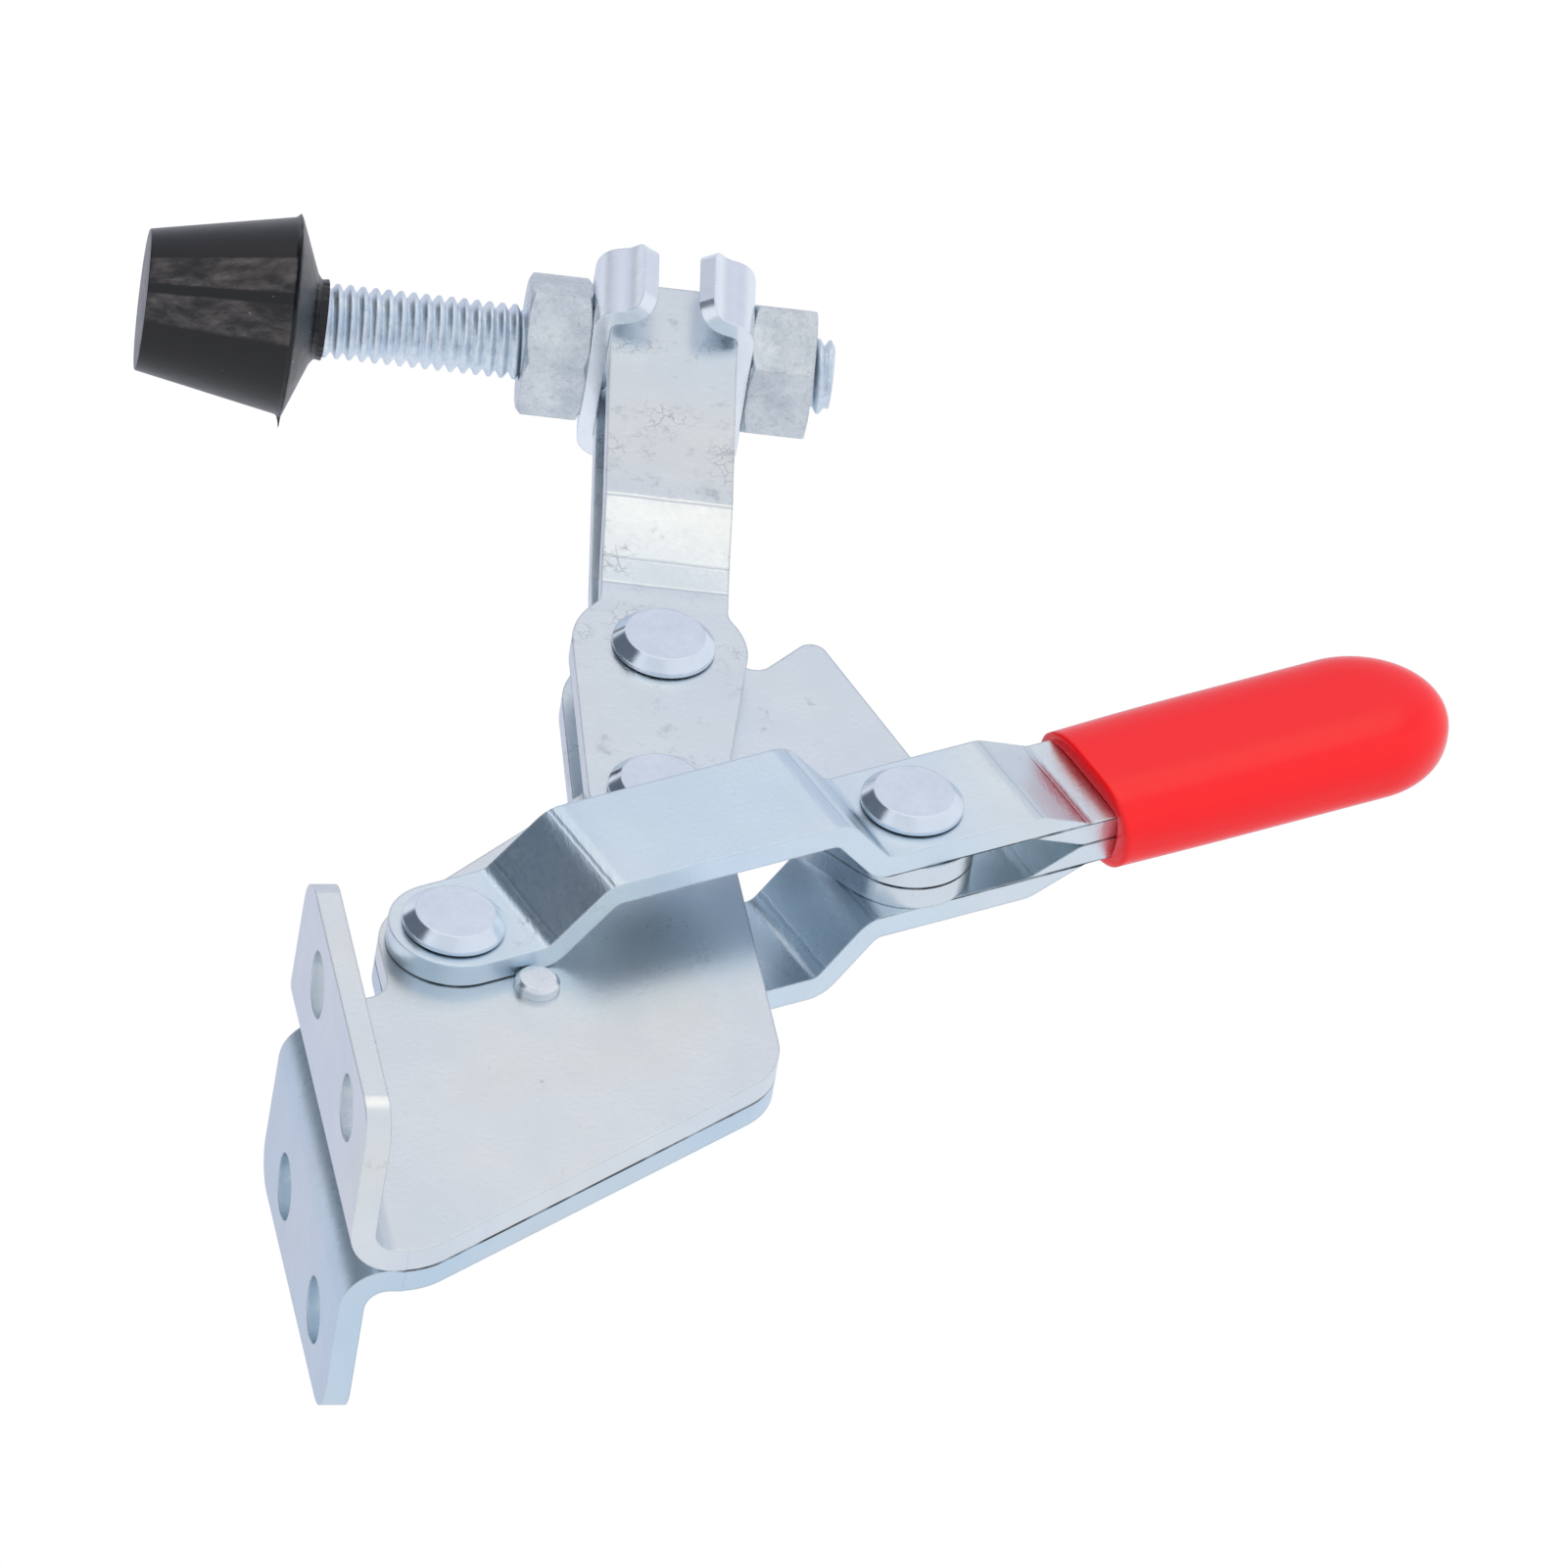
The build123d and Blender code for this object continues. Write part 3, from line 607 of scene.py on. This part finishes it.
def rubber():
    """Moulded nitrile rubber: to the eye blue-black and semi-gloss, with two bands of lighter brown-grey
    colour in wisps drawn out along the spindle, partly rubbed filler and partly painted reflection, and a few
    pale specks of dust."""
    material, tree = new_material("black_moulded_rubber")
    place = add(tree, "TexCoord").outputs["Object"]
    scuff_and_sheen = add(tree, "Attribute", attribute_name="scuff_and_sheen").outputs["Fac"]
    smeared = add(tree, "Mapping", {"Vector": place, "Scale": wisp_stretch})
    wisps = {"Vector": smeared, "Scale": 1 / (wisp_width * MM), "Detail": 6.0, "Roughness": 0.68}
    wisps = add(tree, "TexNoise", wisps)
    filler_and_sheen = add(tree, "TexNoise", {"Vector": place, "Scale": 1 / (filler_and_sheen_patch * MM), "Detail": 3.0})
    # Lighter brown-grey of the bands: partly rubbed filler, partly painted reflection
    filler_and_sheen_hues = ((0.30, "#34343b"), (0.52, "#4c4645"), (0.70, "#7a6d68"))
    filler_and_sheen = add(tree, "ValToRGB", (filler_and_sheen,), filler_and_sheen_hues)
    pale = add(tree, "MapRange", (wisps, 0.42, 0.66))
    filler_and_sheen = add(tree, "Mix", {0: pale, 6: filler_and_sheen, 7: linear("#8a8280")}, data_type="RGBA").outputs[2]
    share = add(tree, "MapRange", (wisps, 0.32, 0.68, 0.08, 0.42))
    share = add(tree, "Math", (scuff_and_sheen, share), operation="MULTIPLY")
    colour = add(tree, "Mix", {0: share, 6: linear("#0b0b0f"), 7: filler_and_sheen}, data_type="RGBA").outputs[2]
    dust = add(tree, "TexNoise", {"Vector": place, "Scale": 1 / (dust_speck * MM), "Detail": 2.0})
    dust = add(tree, "MapRange", (dust, 0.76, 0.80))
    colour = add(tree, "Mix", {0: dust, 6: colour, 7: linear("#a9a9ad")}, data_type="RGBA").outputs[2]
    dulled = add(tree, "Math", (scuff_and_sheen, 0.08), operation="MULTIPLY")
    rough = add(tree, "MapRange", (wisps, 0.3, 0.7, 0.24, 0.36))
    rough = add(tree, "Math", (rough, dulled), operation="ADD")
    bump = add(tree, "Bump", {"Height": wisps, "Strength": 0.25, "Distance": 0.05 * MM})
    skin = {"Base Color": colour, "Roughness": rough, "IOR": 1.46, "Normal": bump}
    add(tree, "OutputMaterial", (add(tree, "BsdfPrincipled", skin),))
    return material


front_base_zinc = zinc_sheet(
    "bright_zinc_base",
    hues=("#dfe8ee", "#e7edf0", "#eaece6"),
    edges_above=4.0,
    worn=-0.06,
)
back_base_zinc = zinc_sheet(
    "blue_zinc_base_back",
    hues=("#c8deee", "#d2e3ee", "#dae5eb"),
    edges_above=4.0,
    worn=-0.06,
)
handle_zinc = zinc_sheet(
    "bright_zinc_handle",
    hues=("#d6e8f6", "#dfedf5", "#e6eff1"),
    seams=(0.0, 2.02),
    worn=-0.04,
    pivot=handle_pivot,
    along=handle_along,
    folds=(6.4, 10.9, 32.0, 35.9, 50.3, 54.5),
)
arm_zinc = zinc_sheet(
    "bright_zinc_arm",
    hues=("#dde8f0", "#e3ebef", "#e7ebea"),
    seams=(2.02,),
    worn=0.06,
    pivot=link_arm_pivot,
    along=arm_along,
    folds=(7.4, 10.4, 16.8),
)
link_zinc = zinc_sheet("bright_zinc_link", hues=("#dce7f2", "#e2ebf0", "#e8ece8"))
rivet_zinc = zinc_fastener(
    "bright_zinc_rivet",
    ("#e2ecf6", "#e9f2fb"),
    shine=0.12,
    texture=0.5,
    relief=0.07,
    pits=0.04,
    rim_shade_depth=4.02,
)
stop_zinc = zinc_fastener(
    "bright_zinc_pin", ("#dfe7ee", "#eef2f5"), shine=0.22, texture=0.5, relief=0.15, pits=0.1
)
washer_zinc = zinc_fastener(
    "blue_zinc_washer", ("#f0f7fe", "#f4faff"), shine=0.22, texture=1.6, relief=0.03, pits=0.03
)
nut_zinc = zinc_fastener(
    "forged_zinc_nut", ("#cbd5dc", "#e6ecef"), shine=0.20, texture=0.35, relief=2.0, pits=0.25
)
thread_zinc = zinc_fastener(
    "rolled_zinc_thread", ("#d3e2f1", "#eaf4fb"), shine=0.30, texture=0.4, relief=0.5, pits=0.25
)
finishes = {
    "base": front_base_zinc,
    "base_plate_back": back_base_zinc,
    "handle": handle_zinc,
    "arm": arm_zinc,
    "link": link_zinc,
    "rivet": rivet_zinc,
    "stop": stop_zinc,
    "washer": washer_zinc,
    "nut": nut_zinc,
}
for part in frame["record"]["subparts"]:
    group = part["node"].split("_")[0]
    finish = finishes.get(part["node"], finishes.get(group))
    if part["material_slot"].startswith("zinc") and finish:
        node = frame["nodes"][part["node"]]
        node.data.materials.clear()
        node.data.materials.append(finish)

rod = thread()
rod.data.materials.append(thread_zinc)
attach(rod, "spindle")
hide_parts("spindle_rod")

cap = rubber_bumper()
cap.data.materials.append(rubber())
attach(cap, "spindle")
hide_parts("rubber_cap")

for name, side, node in (("upper_washer", 1, "washer_upper"), ("lower_washer", -1, "washer_lower")):
    washer = flanged_washer(name, side)
    washer.data.materials.append(washer_zinc)
    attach(washer, "washers")
    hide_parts(node)

dip = grip()
dip.data.materials.append(vinyl())
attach(dip, "handle")
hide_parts("handle_grip")


# ---------------------------------------------------------------- stage
camera_place = (-3.315102, 2.754345, -0.863312)  # metres
camera_right = Vector((-0.156854, 0.131123, 0.978879))
camera_down = Vector((-0.634346, -0.773047, 0.001905))
camera_ahead = Vector((0.756969, -0.620649, 0.204432))
camera_sensor = 36.0
camera_focal = 1311.2  # millimetres
camera_reach = 100.0  # metres

# The room, seen only in reflections
room_tint = "#f0f2f9"
room_power = 0.95
# Its patches: direction, angles where the patch is full and where it ends, tint, brightness
room_patches = (
    ((0.757, 0.621, 0.204), 25, 50, "#e3e6f4", 0.85),  # far wall
    ((0.757, -0.621, -0.204), 15, 45, "#d6d8e7", 1.02),  # table towards the far wall
    ((0.44, 0.88, 0.14), 8, 26, "#fff9f1", 1.32),  # key panel overhead
    ((0.42, 0.42, -0.80), 28, 38, "#4c535c", 1.7),  # dark flag on the left
    ((-0.62, 0.72, -0.30), 12, 28, "#f4f8ff", 0.8),  # grey panel behind the camera
)
fill_power = 0.62
fill_spread = 70.0  # degrees
fill_from = (-0.25, 0.93, 0.28)
floor_size = 24  # metres
floor_level = -1.2  # metres, below everything that moves


def camera():
    """Long lens that looks slightly up at the flange's bolting face, rolled so the arm stands upright."""
    lens = bpy.data.cameras.new("camera")
    lens.sensor_width = camera_sensor
    lens.lens = camera_focal
    lens.clip_end = camera_reach
    view = bpy.data.objects.new("camera", lens)
    turn = Matrix((camera_right, -camera_down, -camera_ahead)).transposed().to_4x4()
    view.matrix_world = Matrix.Translation(Vector(camera_place)) @ turn
    bpy.context.scene.collection.objects.link(view)
    bpy.context.scene.camera = view


def lit(code, power):
    """Colour of a patch of the room: a hex tint times its brightness."""
    tint = linear(code)
    return (tint[0] * power, tint[1] * power, tint[2] * power, 1.0)


def studio():
    """White room: pale table side, lavender grey walls, soft bright panels and dark flags between them. Each
    patch is round: its share rises smoothly between the cosines of its outer and inner angles. The camera
    itself sees plain white."""
    world = bpy.data.worlds.new("white_room")
    bpy.context.scene.world = world
    world.use_nodes = True
    tree = world.node_tree
    tree.nodes.clear()
    direction = add(tree, "TexCoord").outputs["Generated"]
    room = lit(room_tint, room_power)
    for towards, inner, outer, code, power in room_patches:
        centre = np.array(towards) / np.linalg.norm(towards)
        lean = add(tree, "VectorMath", (direction, tuple(centre.tolist())), operation="DOT_PRODUCT")
        edges = (lean.outputs["Value"], math.cos(math.radians(outer)), math.cos(math.radians(inner)))
        share = add(tree, "MapRange", edges, interpolation_type="SMOOTHSTEP")
        room = add(tree, "Mix", {0: share, 6: room, 7: lit(code, power)}, data_type="RGBA").outputs[2]
    seen = add(tree, "LightPath").outputs["Is Camera Ray"]
    sky = add(tree, "Mix", {0: seen, 6: room, 7: (1.0, 1.0, 1.0, 1.0)}, data_type="RGBA").outputs[2]
    add(tree, "OutputWorld", (add(tree, "Background", (sky, 1.0)),))


def soft_fill():
    """Wide sun that only lifts matt colours: it is kept out of the reflections, which belong to the room."""
    sun = bpy.data.lights.new("soft_fill", "SUN")
    sun.energy = fill_power
    sun.angle = math.radians(fill_spread)
    lamp = bpy.data.objects.new("soft_fill", sun)
    lamp.rotation_euler = Vector(fill_from).to_track_quat("Z", "Y").to_euler()
    lamp.visible_glossy = False
    bpy.context.scene.collection.objects.link(lamp)


def pale_floor():
    """Painted floor far below, for views from above: it casts and mirrors nothing onto the part."""
    bpy.ops.mesh.primitive_plane_add(size=floor_size, location=(0, 0, floor_level))
    floor = bpy.context.object
    floor.name = "floor"
    paint, tree = new_material("pale_floor")
    coat = {"Base Color": linear("#f2f2f0"), "Roughness": 0.8}
    add(tree, "OutputMaterial", (add(tree, "BsdfPrincipled", coat),))
    floor.data.materials.append(paint)
    floor.visible_glossy = False
    floor.visible_diffuse = False
    floor.visible_shadow = False
    return floor


camera()
studio()
soft_fill()
bpy.context.scene.view_settings.view_transform = "Standard"
floor = pale_floor()
